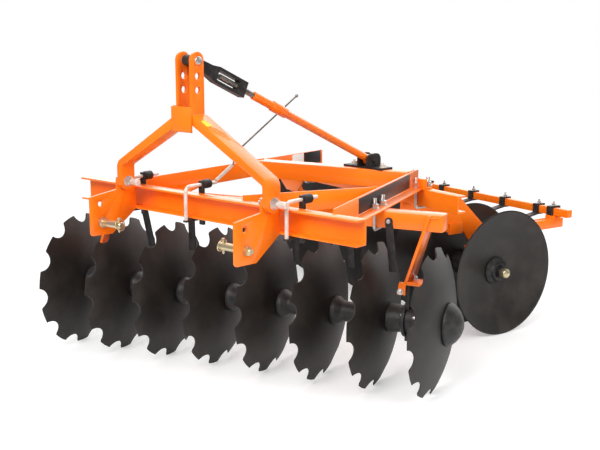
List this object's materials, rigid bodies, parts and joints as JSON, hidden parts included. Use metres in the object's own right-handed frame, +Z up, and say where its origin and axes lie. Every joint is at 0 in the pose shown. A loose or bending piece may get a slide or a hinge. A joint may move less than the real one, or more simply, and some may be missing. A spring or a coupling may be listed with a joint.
{
  "type": "offset disc harrow",
  "caption": "Three-point offset disc harrow: welded frame and mast with a notched front disc gang and a plain rear disc gang that roll on angled axles.",
  "frame": {"origin": "on the ground under the middle of the machine's bounding box", "axes": "+X to the machine's right as seen from the tractor seat, +Y to the rear away from the tractor, +Z up"},
  "size_m": [1.9558, 2.4659, 1.273],
  "materials": {
    "orange_paint": "gloss",
    "black_paint": "satin",
    "disc_steel": "satin",
    "zinc_steel": "bright zinc plate",
    "yellow_zinc": "yellow passivated zinc"
  },
  "bodies": {
    "frame": {"bar_clamps": "black_paint", "beam_clamps": "black_paint", "beam_hooks": "zinc_steel", "corner_gusset": "orange_paint", "cross_beam": "orange_paint", "diagonal_brace": "orange_paint", "front_bearing_left": "black_paint", "front_bearing_right": "black_paint", "front_gang_beam": "orange_paint", "front_scrapers": "black_paint", "front_standard_left": "orange_paint", "front_standard_right": "orange_paint", "hitch_beam": "orange_paint", "hook_rod": "zinc_steel", "left_hitch_pin": "yellow_zinc", "left_hitch_plate": "orange_paint", "left_mast_leg": "orange_paint", "left_mast_plate": "orange_paint", "left_member": "orange_paint", "leg_bolts": "zinc_steel", "mast_front_plate": "orange_paint", "rear_arm_left": "orange_paint", "rear_arm_right": "orange_paint", "rear_bearing_left": "black_paint", "rear_bearing_right": "black_paint", "rear_gang_beam": "orange_paint", "rear_scrapers": "black_paint", "right_hitch_pin": "yellow_zinc", "right_hitch_plate": "orange_paint", "right_mast_leg": "orange_paint", "right_mast_plate": "orange_paint", "right_member": "orange_paint", "scraper_bar": "orange_paint", "stay_foot": "black_paint", "stay_screw": "zinc_steel", "stay_tube": "orange_paint", "stay_yoke": "black_paint", "top_pin": "zinc_steel"},
    "front_gang": {"front_axle": "yellow_zinc", "front_disc_1": "disc_steel", "front_disc_2": "disc_steel", "front_disc_3": "disc_steel", "front_disc_4": "disc_steel", "front_disc_5": "disc_steel", "front_disc_6": "disc_steel", "front_disc_7": "disc_steel", "front_disc_8": "disc_steel", "front_end_caps": "black_paint", "front_spools": "black_paint"},
    "rear_gang": {"rear_axle": "yellow_zinc", "rear_disc_1": "disc_steel", "rear_disc_2": "disc_steel", "rear_disc_3": "disc_steel", "rear_disc_4": "disc_steel", "rear_disc_5": "disc_steel", "rear_disc_6": "disc_steel", "rear_disc_7": "disc_steel", "rear_disc_8": "disc_steel", "rear_end_caps": "black_paint", "rear_spools": "black_paint"}
  },
  "joints": [
    {"name": "front_gang_spin", "type": "hinge", "parent": "frame", "child": "front_gang", "pos_m": [-0.679, -0.9069, 0.28], "axis": [0.9641, 0.2656, 0], "continuous": true},
    {"name": "rear_gang_spin", "type": "hinge", "parent": "frame", "child": "rear_gang", "pos_m": [-0.8597, 0.7825, 0.28], "axis": [0.9641, -0.2656, 0], "continuous": true}
  ]
}
